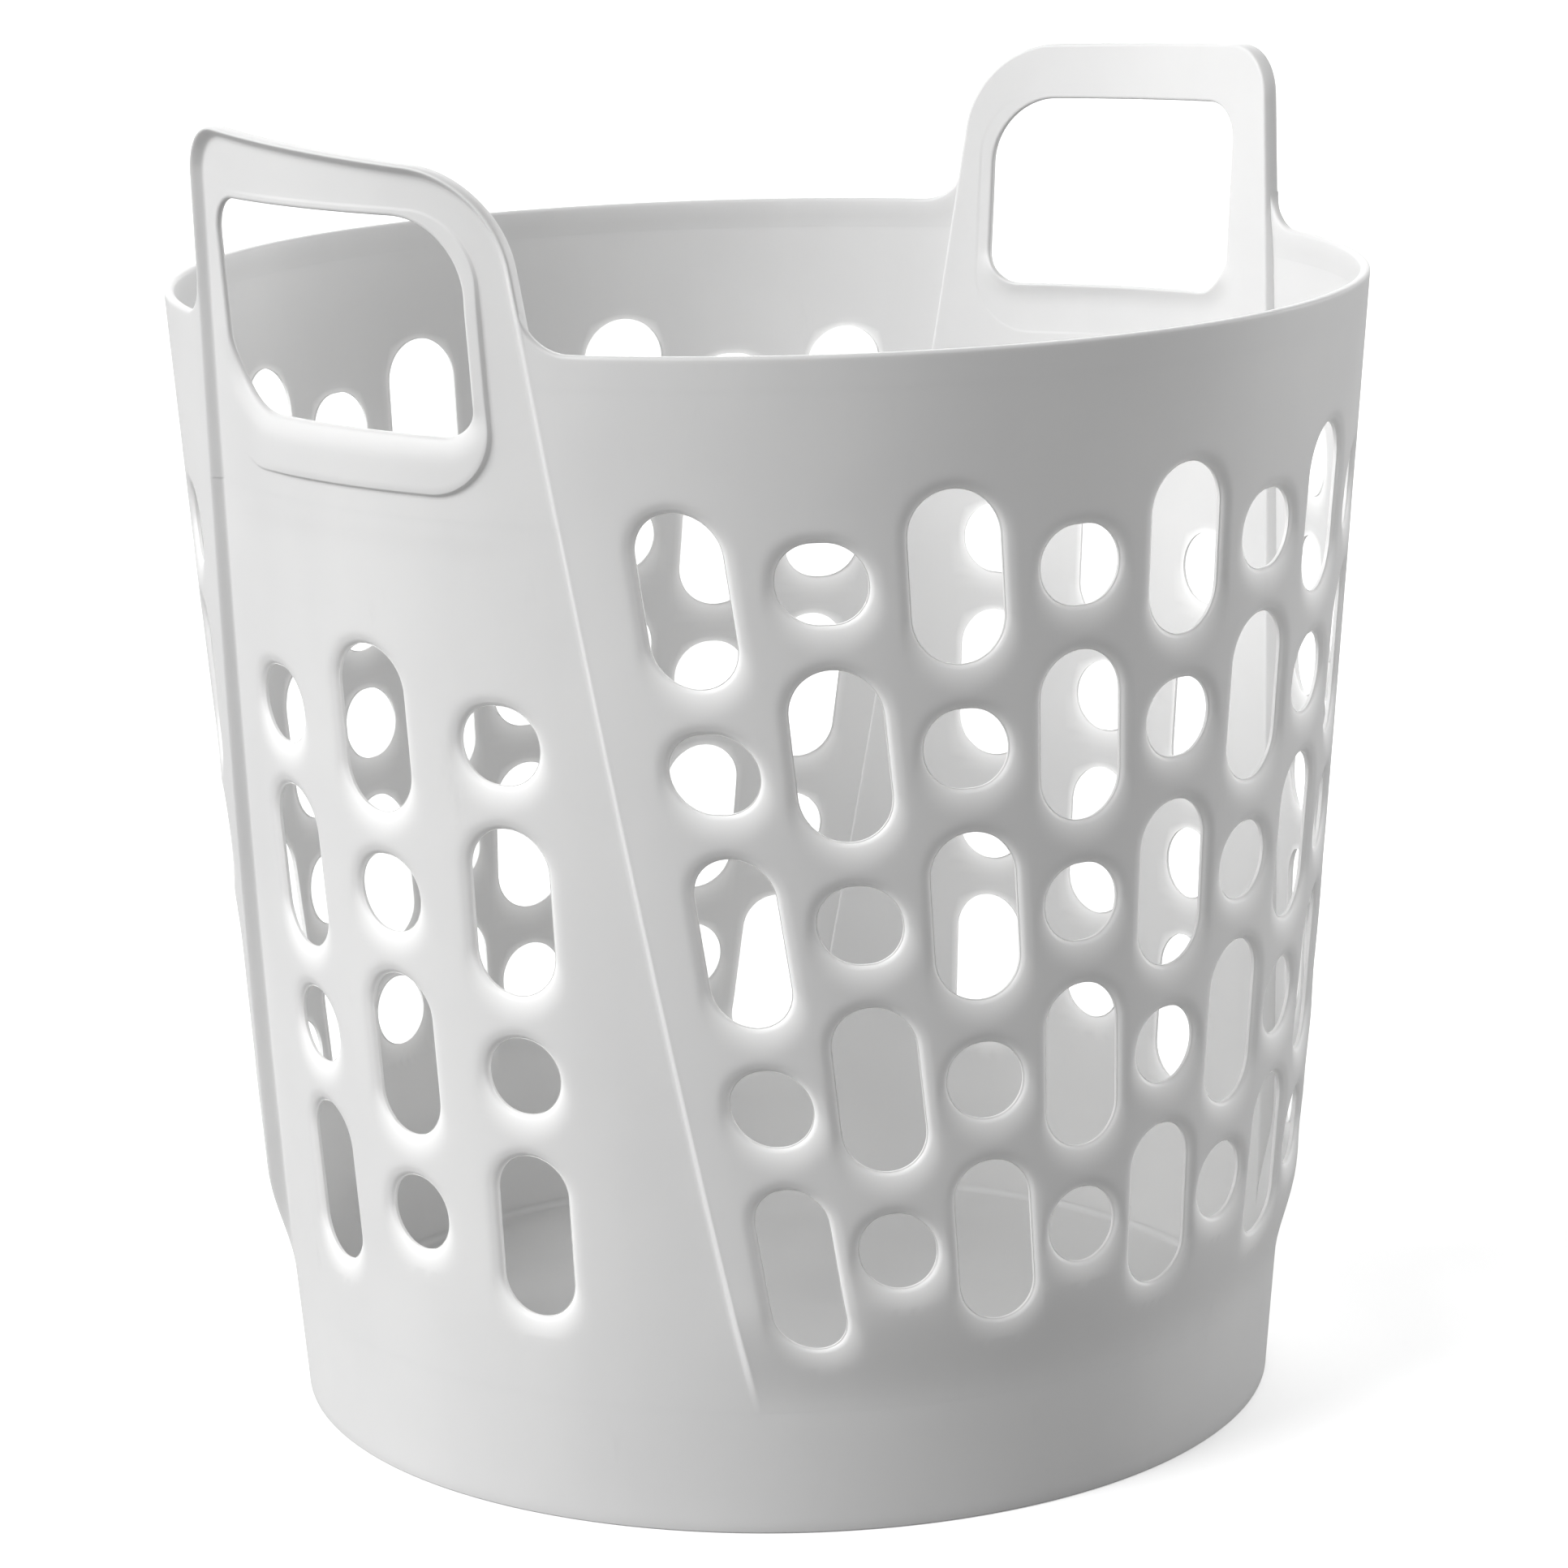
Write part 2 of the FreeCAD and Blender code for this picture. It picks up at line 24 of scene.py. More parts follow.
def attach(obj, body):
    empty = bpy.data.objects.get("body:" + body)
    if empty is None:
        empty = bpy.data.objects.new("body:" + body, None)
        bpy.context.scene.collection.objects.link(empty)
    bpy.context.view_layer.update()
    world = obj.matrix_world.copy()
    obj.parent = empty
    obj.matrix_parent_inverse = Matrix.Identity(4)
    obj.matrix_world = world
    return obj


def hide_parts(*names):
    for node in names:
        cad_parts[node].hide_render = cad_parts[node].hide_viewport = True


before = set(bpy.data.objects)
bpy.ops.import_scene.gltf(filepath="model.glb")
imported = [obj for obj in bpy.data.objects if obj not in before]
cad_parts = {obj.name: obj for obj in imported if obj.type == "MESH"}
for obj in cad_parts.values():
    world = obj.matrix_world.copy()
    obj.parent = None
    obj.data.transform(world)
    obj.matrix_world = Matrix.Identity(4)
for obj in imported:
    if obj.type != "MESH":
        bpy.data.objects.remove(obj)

LOG = logging.getLogger("laundry_basket")
MM = 0.001
BODY = "root"
# the point attribute that carries a painted glow of light round the vent holes
PAINTED_GLOW_ATTRIBUTE = "painted_hole_glow"
WELD_DISTANCE, SLIVER_LENGTH = 2e-6, 1e-7
SHARP_ANGLE = 42.0
QUARTER_TURNS = np.radians([0.0, 22.5, 45.0, 67.5, 90.0])
Array = np.ndarray


# ---------- form of the basket

def smooth(x: Array) -> Array:
    """Rise from 0 to 1 with level ends, as x goes from 0 to 1."""
    x = np.clip(x, 0.0, 1.0)
    return x * x * (3.0 - 2.0 * x)


def corner_drop(distance: Array, radius: float) -> Array:
    """How far a quarter-round edge falls below its flat at a distance from the edge."""
    reach = np.clip(radius - distance, 0.0, radius)
    return radius - np.sqrt(radius * radius - reach * reach)


@dataclass(frozen=True)
class Form:
    """Overall shape that all the pieces share.

    The walls are a cone above a soft shoulder, the side panels a slightly smaller cone, and
    the edge between them is a leaning line, so that a panel gets wider downwards.
    """

    rim_height: float = 400.0
    rim_radius: float = 209.0
    foot_radius: float = 175.0
    foot_height: float = 44.0
    foot_top_radius: float = 178.4
    shoulder_height: float = 84.0
    shoulder_radius: float = 187.2
    skin: float = 2.5
    band_height: float = 11.0
    panel_rim_half_width: float = 75.5
    panel_lean: float = 0.11
    panel_rim_radius: float = 205.5
    handle_split: float = 344.0
    handle_top: float = 460.0
    row_top: float = 327.0
    row_pitch: float = 56.5
    row_steps: int = 22
    wall_half_pitches: float = 5.35
    ledge_height: float = 333.0
    ledge_depth: float = 0.2
    ledge_fade: float = 6.0
    ledge_half_angle: float = 15.0
    ledge_end_fade: float = 5.0
    flank_start: float = 3.6
    flank_run: float = 3.0
    inner_round: float = 1.0
    least_gap_steps: float = 0.6

    @property
    def step(self) -> float:
        """Spacing of the mesh in height, a whole number of which make a row pitch."""
        return self.row_pitch / self.row_steps

    @property
    def wall_top(self) -> float:
        """Height where a wall ends and its rim begins."""
        return self.rim_height - self.band_height

    def foot(self, z: Array) -> Array:
        """Outer radius of the foot ring."""
        return self.foot_radius + (self.foot_top_radius - self.foot_radius) * z / self.foot_height

    def wall(self, z: Array) -> Array:
        """Outer radius of a wall: a cone, and a cubic through the shoulder that meets the
        cone and the foot ring without a crease."""
        cone_slope = ((self.rim_radius - self.shoulder_radius)
                      / (self.rim_height - self.shoulder_height))
        foot_slope = (self.foot_top_radius - self.foot_radius) / self.foot_height
        cone = self.shoulder_radius + cone_slope * (z - self.shoulder_height)
        span = self.shoulder_height - self.foot_height
        t = np.clip((z - self.foot_height) / span, 0.0, 1.0)
        cubic = ((2 * t**3 - 3 * t**2 + 1) * self.foot_top_radius
                 + (t**3 - 2 * t**2 + t) * span * foot_slope
                 + (3 * t**2 - 2 * t**3) * self.shoulder_radius
                 + (t**3 - t**2) * span * cone_slope)
        return np.where(z < self.shoulder_height, cubic, cone)

    def panel(self, z: Array) -> Array:
        """Outer radius of a side panel and its handle: a plain cone."""
        share = (z - self.foot_height) / (self.rim_height - self.foot_height)
        return self.foot_top_radius + (self.panel_rim_radius - self.foot_top_radius) * share

    def step_depth(self, z: Array) -> Array:
        """How far a wall, or a handle's lip above the rim, stands out from the panel."""
        low = np.minimum(z, self.rim_height)
        return np.maximum(self.wall(low) - self.panel(low), 0.0)

    def edge_half_width(self, z: Array) -> Array:
        """Half the width of a side panel."""
        return self.panel_rim_half_width + self.panel_lean * (self.rim_height - z)

    def side_azimuth(self, y: Array, z: Array) -> Array:
        """Azimuth of a point of a side panel from the panel's middle line."""
        return np.degrees(np.arcsin(y / self.panel(z)))

    def edge_azimuth(self, z: Array) -> Array:
        """Azimuth of a side panel's edge from the panel's middle line."""
        return self.side_azimuth(self.edge_half_width(z), z)

    def wall_pitch_angle(self, z: Array) -> Array:
        """Angle between a wall's columns: half of its arc is a set number of them."""
        edge = np.degrees(np.arcsin(self.edge_half_width(z) / self.wall(z)))
        return (90.0 - edge) / self.wall_half_pitches

    def wall_pitch(self, z: Array) -> Array:
        """Spacing of a wall's columns along its skin."""
        return self.wall(z) * np.radians(self.wall_pitch_angle(z))

    def ledge(self, azimuth: Array, z: Array) -> Array:
        """Soft ledge across a side panel under the handle's collar."""
        ends = smooth((np.abs(azimuth) - self.ledge_half_angle) / self.ledge_end_fade)
        return self.ledge_depth * smooth((z - self.ledge_height) / self.ledge_fade) * (1.0 - ends)

    def flank(self, inward: Array, z: Array) -> Array:
        """Rounded step at a panel's edge, as a rise over the panel at a distance inward: a
        smooth S that ends close to the edge, as high as the step is deep."""
        return self.step_depth(z) * smooth((self.flank_start - inward) / self.flank_run)

    def place(self, azimuth: Array, z: Array, radius: Array) -> Array:
        """Points in metres from azimuth, height and radius."""
        turn = np.radians(azimuth)
        return np.stack(np.broadcast_arrays(radius * np.sin(turn), -radius * np.cos(turn), z),
                        axis=-1) * MM

    def heights(self, low: float, high: float) -> Array:
        """Grid heights on the shared steps between two heights, and the two ends."""
        first = math.ceil((low - self.row_top) / self.step + self.least_gap_steps)
        last = math.floor((high - self.row_top) / self.step - self.least_gap_steps)
        inner = self.row_top + self.step * np.arange(first, last + 1)
        return np.concatenate([[low], inner, [high]])


FORM = Form()
FLANK_LINES = np.array([6.0, 4.7, 3.6, 3.2, 2.85, 2.5, 2.15, 1.8, 1.45, 1.1, 0.8, 0.5, 0.25, 0.0])


class HoleKind(Enum):
    """The two shapes of vent hole."""

    SLOT = "slot"
    ROUND = "round"


@dataclass(frozen=True)
class Hole:
    """One vent hole in a field of columns: its kind, row, and column's middle."""

    kind: HoleKind
    row: int
    middle: float
    lowered_steps: int = 0
    slot_narrowing: float = 1.0

    @property
    def height(self) -> float:
        """Height of the hole's centre."""
        return FORM.row_top - FORM.row_pitch * self.row - FORM.step * self.lowered_steps


@dataclass(frozen=True)
class HolePattern:
    """Sizes of the vent holes.  Widths are shares of a wall's column spacing, which grow
    from row to row downwards."""

    slot_height: float = 57.0
    slot_share: float = 0.719
    round_height: float = 26.5
    round_share: float = 0.685
    share_growth: float = 0.0216
    slot_half_steps: int = 14
    round_half_steps: int = 8
    edge_radius: float = 1.5
    inner_edge_radius: float = 0.45
    dish_depth: float = 1.6
    dish_reach: float = 4.6
    dish_lower_stretch: float = 1.1
    # the next two: reach of the painted glow of light round a hole, and how much longer it reaches
    # below it
    glow_reach: float = 2.8
    glow_lower_stretch: float = 2.9

    def skeleton(self, hole: Hole) -> tuple[float, float, float]:
        """Half the length of a hole's middle line across and upwards, and its radius."""
        pitch = float(FORM.wall_pitch(hole.height))
        growth = self.share_growth * hole.row
        if hole.kind is HoleKind.SLOT:
            radius = pitch * (self.slot_share + growth) * hole.slot_narrowing / 2.0
            return 0.0, self.slot_height / 2.0 - radius, radius
        radius = self.round_height / 2.0
        return pitch * (self.round_share + growth) / 2.0 - radius, 0.0, radius

    def half_steps(self, kind: HoleKind) -> int:
        """Half the height of a hole's cell, in grid steps."""
        return self.slot_half_steps if kind is HoleKind.SLOT else self.round_half_steps


# ---------- mesh making

class Skin:
    """Collects grids of points into one welded mesh."""

    def __init__(self) -> None:
        """Start with nothing."""
        self.points: list[Array] = []
        self.quads: list[Array] = []
        self.pale: list[Array] = []
        self.count = 0

    def grid(self, points: Array, wrap: bool = False, pale: Array | float = 0.0) -> None:
        """Add grids of points.

        Args:
            points: of shape (..., rows, columns, 3); leading axes are further grids.
            wrap: join the last column to the first.
            pale: how much painted glow of light each point gets, from 0 to 1.
        """
        self.pale.append(np.broadcast_to(pale, points.shape[:-1]).reshape(-1))
        rows, columns = points.shape[-3:-1]
        points = points.reshape(-1, rows, columns, 3)
        index = np.arange(points.shape[0] * rows * columns).reshape(-1, rows, columns) + self.count
        across = np.roll(index, -1, axis=2) if wrap else index[:, :, 1:]
        here = index if wrap else index[:, :, :-1]
        quads = np.stack([here[:, :-1], across[:, :-1], across[:, 1:], here[:, 1:]], axis=-1)
        self.points.append(points.reshape(-1, 3))
        self.quads.append(quads.reshape(-1, 4))
        self.count += points.shape[0] * rows * columns

    def join(self, one: Array, other: Array) -> None:
        """Add one strip of faces between two lines of points."""
        self.grid(np.stack([one, other]))

    def turned(self, radius: Array, z: Array, segments: int) -> None:
        """Add a profile of radii and heights, turned about the axis."""
        azimuth = np.arange(segments) * 360.0 / segments
        self.grid(FORM.place(azimuth, z[:, None], radius[:, None]), wrap=True)

    def build(self, name: str) -> bpy.types.Object:
        """Weld the grids and point the faces outwards, smooth but for the true edges."""
        points, quads = np.concatenate(self.points), np.concatenate(self.quads)
        mesh = bpy.data.meshes.new(name)
        mesh.from_pydata(points, [], quads)
        # store the painted glow of light round the holes on the points
        pale = mesh.attributes.new(PAINTED_GLOW_ATTRIBUTE, "FLOAT", "POINT")
        pale.data.foreach_set("value", np.concatenate(self.pale))
        shell = bmesh.new()
        shell.from_mesh(mesh)
        bmesh.ops.remove_doubles(shell, verts=shell.verts, dist=WELD_DISTANCE)
        bmesh.ops.dissolve_degenerate(shell, edges=shell.edges, dist=SLIVER_LENGTH)
        bmesh.ops.recalc_face_normals(shell, faces=shell.faces)
        open_edges = sum(1 for edge in shell.edges if len(edge.link_faces) != 2)
        shell.to_mesh(mesh)
        shell.free()
        mesh.polygons.foreach_set("use_smooth", np.ones(len(mesh.polygons), bool))
        mesh.set_sharp_from_angle(angle=math.radians(SHARP_ANGLE))
        mesh.update()
        piece = bpy.data.objects.new(name, mesh)
        bpy.context.scene.collection.objects.link(piece)
        LOG.info("%s: %d faces, %d open edges", name, len(mesh.polygons), open_edges)
        return piece


class HoleField:
    """A skin full of vent holes, on columns that are evenly spaced at every height.

    The across coordinate is counted in columns from the middle.  Each hole sits in a cell of
    whole grid steps, filled with rings that run from the cell's border to the hole's edge.
    A ring is parallel to the hole, because each of its points lies on the straight line from
    a border point to the nearest point of the hole's middle line.
    """

    RINGS = np.array([1.0, 0.78, 0.58, 0.4, 0.25, 0.13, 0.05])
    INNER_RINGS = np.array([1.0, 0.55, 0.22])
    ROUNDING = np.radians([0.0, 30.0, 60.0, 90.0])
    NEAR_HEIGHT, NEAR_COLUMNS = 42.0, 1.2
    FADE_POWER = 1.7

    def __init__(self, pattern: HolePattern, holes: list[Hole], segments: int,
                 pitch: Callable) -> None:
        """Keep the holes, the grid columns in a cell, and the column spacing by height."""
        self.pattern, self.holes, self.segments, self.pitch = pattern, holes, segments, pitch

    def nearness(self, s: Array, z: Array, reach: float, lower_stretch: float) -> Array:
        """1 at a hole's edge, fading to 0 over a reach along the skin, which is longer below
        the hole by a share; where the fades of two holes meet, they blend."""
        level = np.ones_like(s)
        for hole in self.holes:
            near = ((np.abs(z - hole.height) < self.NEAR_HEIGHT)
                    & (np.abs(s - hole.middle) < self.NEAR_COLUMNS))
            across, up, radius = self.pattern.skeleton(hole)
            u = (s[near] - hole.middle) * self.pitch(z[near])
            v = z[near] - hole.height
            u, v = u - np.clip(u, -across, across), v - np.clip(v, -up, up)
            away = np.maximum(np.hypot(u, v), 1e-6)
            fade = reach * (1.0 + lower_stretch * np.clip(-v / away, 0.0, 1.0))
            close = np.clip(1.0 - (away - radius) / fade, 0.0, 1.0)
            level[near] *= 1.0 - close**self.FADE_POWER
        return 1.0 - level

    def dish(self, s: Array, z: Array) -> Array:
        """Depth of the soft dishes round the holes."""
        pattern = self.pattern
        return pattern.dish_depth * self.nearness(s, z, pattern.dish_reach,
                                                  pattern.dish_lower_stretch)

    def painted_glow(self, s: Array, z: Array) -> Array:
        """How strongly a painted glow of light is laid on towards the holes' edges, reaching
        further below them.
        """
        return self.nearness(s, z, self.pattern.glow_reach, self.pattern.glow_lower_stretch)

    def border(self, half_steps: int) -> tuple[Array, Array]:
        """Border of a cell, anticlockwise: share of a column across, and steps upwards."""
        across = np.arange(self.segments) / self.segments - 0.5
        up = np.arange(2 * half_steps) - float(half_steps)
        s = np.concatenate([across, np.full(len(up), 0.5), -across, np.full(len(up), -0.5)])
        j = np.concatenate([np.full(len(across), -float(half_steps)), up,
                            np.full(len(across), float(half_steps)), -up])
        return s, j

    def cells(self, kind: HoleKind) -> tuple[Array, Array, Array, Array]:
        """Rings of all the cells of one kind, from the outer border round the edge of the
        hole to the inner border.

        Returns:
            Across and height of shape (cells, rings, border points); and for each ring, how
            far it lies back from its skin, and whether that is the inner skin.
        """
        holes = [hole for hole in self.holes if hole.kind is kind]
        sizes = np.array([self.pattern.skeleton(hole) for hole in holes])
        across, up, radius = (sizes[:, i, None] for i in range(3))
        middle = np.array([hole.middle for hole in holes])[:, None, None]
        height = np.array([hole.height for hole in holes])[:, None]
        share, j = self.border(self.pattern.half_steps(kind))
        v = j * FORM.step + np.zeros_like(height)
        u = share * self.pitch(height + v)
        cu, cv = np.clip(u, -across, across), np.clip(v, -up, up)
        reach = np.hypot(u - cu, v - cv)
        du, dv = (u - cu) / reach, (v - cv) / reach

        outer, inner = self.pattern.edge_radius, self.pattern.inner_edge_radius
        free = (reach - radius)[:, None, :]
        plan = [outer + part * (free - outer) for part in self.RINGS]
        plan += [np.full_like(free, outer * (1.0 - math.sin(a))) for a in self.ROUNDING]
        plan += [np.full_like(free, inner * (1.0 - math.cos(a))) for a in self.ROUNDING]
        plan += [inner + part * (free - inner) for part in self.INNER_RINGS[::-1]]
        distance = np.concatenate(plan, axis=1) + radius[:, None, :]
        drop = np.concatenate([
            np.zeros(len(self.RINGS)), outer * (1.0 - np.cos(self.ROUNDING)),
            inner * (1.0 - np.sin(self.ROUNDING)), np.zeros(len(self.INNER_RINGS))])
        inside = np.arange(len(drop)) >= len(self.RINGS) + len(self.ROUNDING)
        z = height[:, :, None] + cv[:, None, :] + distance * dv[:, None, :]
        s = middle + (cu[:, None, :] + distance * du[:, None, :]) / self.pitch(z)
        return s, z, drop[:, None], inside[:, None]


@dataclass
class BasketPiece:
    """A region of the moulding: a name, which is also its node's, and how it is made."""

    name: str
    middle: float = 0.0

    def make(self, finish: "PlasticFinish") -> bpy.types.Object:
        """Build the piece's mesh, dress it and let it take its node's place."""
        skin = Skin()
        self.fill(skin)
        piece = skin.build(self.name + "_skin")
        piece.data.materials.append(finish.material)
        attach(piece, BODY)
        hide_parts(self.name)
        return piece

    def fill(self, skin: Skin) -> None:
        """Add the piece's grids to a skin."""
        raise NotImplementedError


@dataclass
class PerforatedPiece(BasketPiece):
    """A skin with a field of holes, closed by caps at its top, bottom and two sides.

    A subclass gives the spacing of its columns (pitch), the azimuth of a point from its
    middle, the radius of its outer skin without dishes and of its inner skin, and the across
    coordinates of the lines between its cells and an edge (side_lines).
    """

    columns: int = 10
    first_row: int = 0
    last_row: int = 4
    segments: int = 16
    top: float = 0.0
    end_lowered_steps: int = 0
    end_slot_narrowing: float = 1.0
    pattern: HolePattern = field(default_factory=HolePattern)

    def __post_init__(self) -> None:
        """Lay out the holes: slots and round ones take turns along each row."""
        first = -(self.columns - 1) / 2.0
        holes = []
        for row in range(self.first_row, self.last_row + 1):
            for i in range(self.columns):
                kind = HoleKind.SLOT if (row + i) % 2 == 0 else HoleKind.ROUND
                at_end = i in (0, self.columns - 1)
                ends = (self.end_lowered_steps, self.end_slot_narrowing) if at_end else ()
                holes.append(Hole(kind, row, first + i, *ends))
        self.field = HoleField(self.pattern, holes, self.segments, self.pitch)

    def surface(self, s: Array, z: Array, inside: Array | bool,
                drop: Array | float = 0.0) -> Array:
        """Points on either skin, set back from it by drop towards the other skin."""
        outer = self.outer(s, z) - self.field.dish(s, z) - drop
        radius = np.where(inside, self.inner(s, z) + drop, outer)
        return FORM.place(self.middle + self.azimuth(s, z), z, radius)

    def fill(self, skin: Skin) -> None:
        """Cells, margins above and below them, side strips, and caps."""
        for kind in HoleKind:
            s, z, drop, inside = self.field.cells(kind)
            # the cells carry the painted glow of light round each hole's edge
            skin.grid(self.surface(s, z, inside, drop), wrap=True,
                      pale=self.field.painted_glow(s, z))

        share = np.arange(self.segments + 1) / self.segments
        for hole in self.field.holes:
            reach = self.pattern.half_steps(hole.kind) * FORM.step
            line = hole.middle - 0.5 + share
            if hole.row == self.first_row:
                self.both_skins(skin, line, FORM.heights(hole.height + reach, self.top))
            if hole.row == self.last_row:
                self.both_skins(skin, line, FORM.heights(FORM.foot_height, hole.height - reach))
        heights = FORM.heights(FORM.foot_height, self.top)
        side = self.side_lines()
        for line in (side, -side[::-1]):
            self.both_skins(skin, line, heights)

        line = self.lines()
        for z in (FORM.foot_height, self.top):
            self.cap(skin, line, np.full(len(line), z))
        for s in (-side[-1], side[-1]):
            self.cap(skin, np.full(len(heights), s), heights)

    def lines(self) -> Array:
        """Across coordinates of all the grid lines, from edge to edge."""
        side = self.side_lines()
        middle = np.arange(self.columns * self.segments + 1) / self.segments - side[0]
        return np.concatenate([-side[::-1][:-1], middle, side[1:]])

    def both_skins(self, skin: Skin, s: Array, z: Array) -> None:
        """Add a plain grid over lines s and heights z, on the outer and the inner skin."""
        s, z = np.meshgrid(s, z)
        for inside in (False, True):
            skin.grid(self.surface(s, z, inside))

    def cap(self, skin: Skin, s: Array, z: Array) -> None:
        """Join the two skins along a line."""
        skin.join(self.surface(s, z, False), self.surface(s, z, True))


@dataclass
class Wall(PerforatedPiece):
    """One of the two bulging walls.  Its columns fan out upwards, and the two at its ends
    sit a little lower and have narrower slots."""

    top: float = FORM.wall_top
    end_lowered_steps: int = 2
    end_slot_narrowing: float = 0.9
    strips: int = 6

    def pitch(self, z: Array) -> Array:
        """Spacing of the columns along the skin."""
        return FORM.wall_pitch(z)

    def azimuth(self, s: Array, z: Array) -> Array:
        """Azimuth of a point from the wall's middle: even columns, and then the rest."""
        half = self.columns / 2.0
        field_edge = half * FORM.wall_pitch_angle(z)
        rest = np.clip((np.abs(s) - half) / (FORM.wall_half_pitches - half), 0.0, 1.0)
        return (np.clip(s, -half, half) * FORM.wall_pitch_angle(z)
                + np.sign(s) * rest * (90.0 - FORM.edge_azimuth(z) - field_edge))

    def outer(self, s: Array, z: Array) -> Array:
        """Radius of the outer skin."""
        return FORM.wall(z)

    def inner(self, s: Array, z: Array) -> Array:
        """Radius of the inner skin."""
        return FORM.wall(z) - FORM.skin

    def side_lines(self) -> Array:
        """Even strips between the last column and the edge."""
        return np.linspace(self.columns / 2.0, FORM.wall_half_pitches, self.strips + 1)


@dataclass
class SidePanel(PerforatedPiece):
    """One of the two inset side panels, with the rounded steps up to the walls."""

    columns: int = 3
    first_row: int = 1
    segments: int = 20
    top: float = FORM.handle_split
    column_angle: float = 15.4
    strips: int = 10
    narrow_from: float = 308.0
    narrow_half_angle: float = 20.5
    deep_step: float = 2.0

    def half_angle(self, z: Array) -> Array:
        """Half the angle of the field of cells; it gives way to the steps near the top."""
        wide = self.column_angle * self.columns / 2.0
        share = smooth((z - self.narrow_from) / (FORM.handle_split - self.narrow_from))
        return wide + (self.narrow_half_angle - wide) * share

    def pitch(self, z: Array) -> Array:
        """Spacing of the columns along the skin."""
        return FORM.panel(z) * np.radians(self.column_angle)

    def inward(self, s: Array, z: Array) -> Array:
        """Distance from the nearer edge: beyond the strips, s counts the step's lines."""
        line = np.clip(np.abs(s) - self.columns / 2.0 - self.strips, 0.0, None)
        return np.where(line > 0, np.interp(line, np.arange(len(FLANK_LINES)), FLANK_LINES),
                        FLANK_LINES[0])

    def azimuth(self, s: Array, z: Array) -> Array:
        """Azimuth of a point from the panel's middle: even columns, then even strips, then
        the lines of the step at set distances from the edge."""
        half = self.columns / 2.0
        field_part = self.half_angle(z) * np.clip(np.abs(s) / half, 0.0, 1.0)
        start = FORM.edge_azimuth(z) - np.degrees(FLANK_LINES[0] / FORM.panel(z))
        strip = np.clip((np.abs(s) - half) / self.strips, 0.0, 1.0)
        strip_part = (start - self.half_angle(z)) * strip
        step_part = np.degrees((FLANK_LINES[0] - self.inward(s, z)) / FORM.panel(z))
        return np.sign(s) * (field_part + strip_part + step_part)

    def outer(self, s: Array, z: Array) -> Array:
        """Radius of the outer skin: the cone, the step and the ledge."""
        return (FORM.panel(z) + FORM.flank(self.inward(s, z), z)
                + FORM.ledge(self.azimuth(s, z), z))

    def inner(self, s: Array, z: Array) -> Array:
        """Radius of the inner skin, rounded where it steps back to a wall."""
        round_off = (corner_drop(self.inward(s, z), FORM.inner_round)
                     * smooth(FORM.step_depth(z) / self.deep_step))
        return FORM.panel(z) - FORM.skin + round_off + FORM.ledge(self.azimuth(s, z), z)

    def side_lines(self) -> Array:
        """The strips and the lines of the step, counted on from the last column."""
        count = self.strips + len(FLANK_LINES)
        return self.columns / 2.0 + np.arange(count, dtype=float)


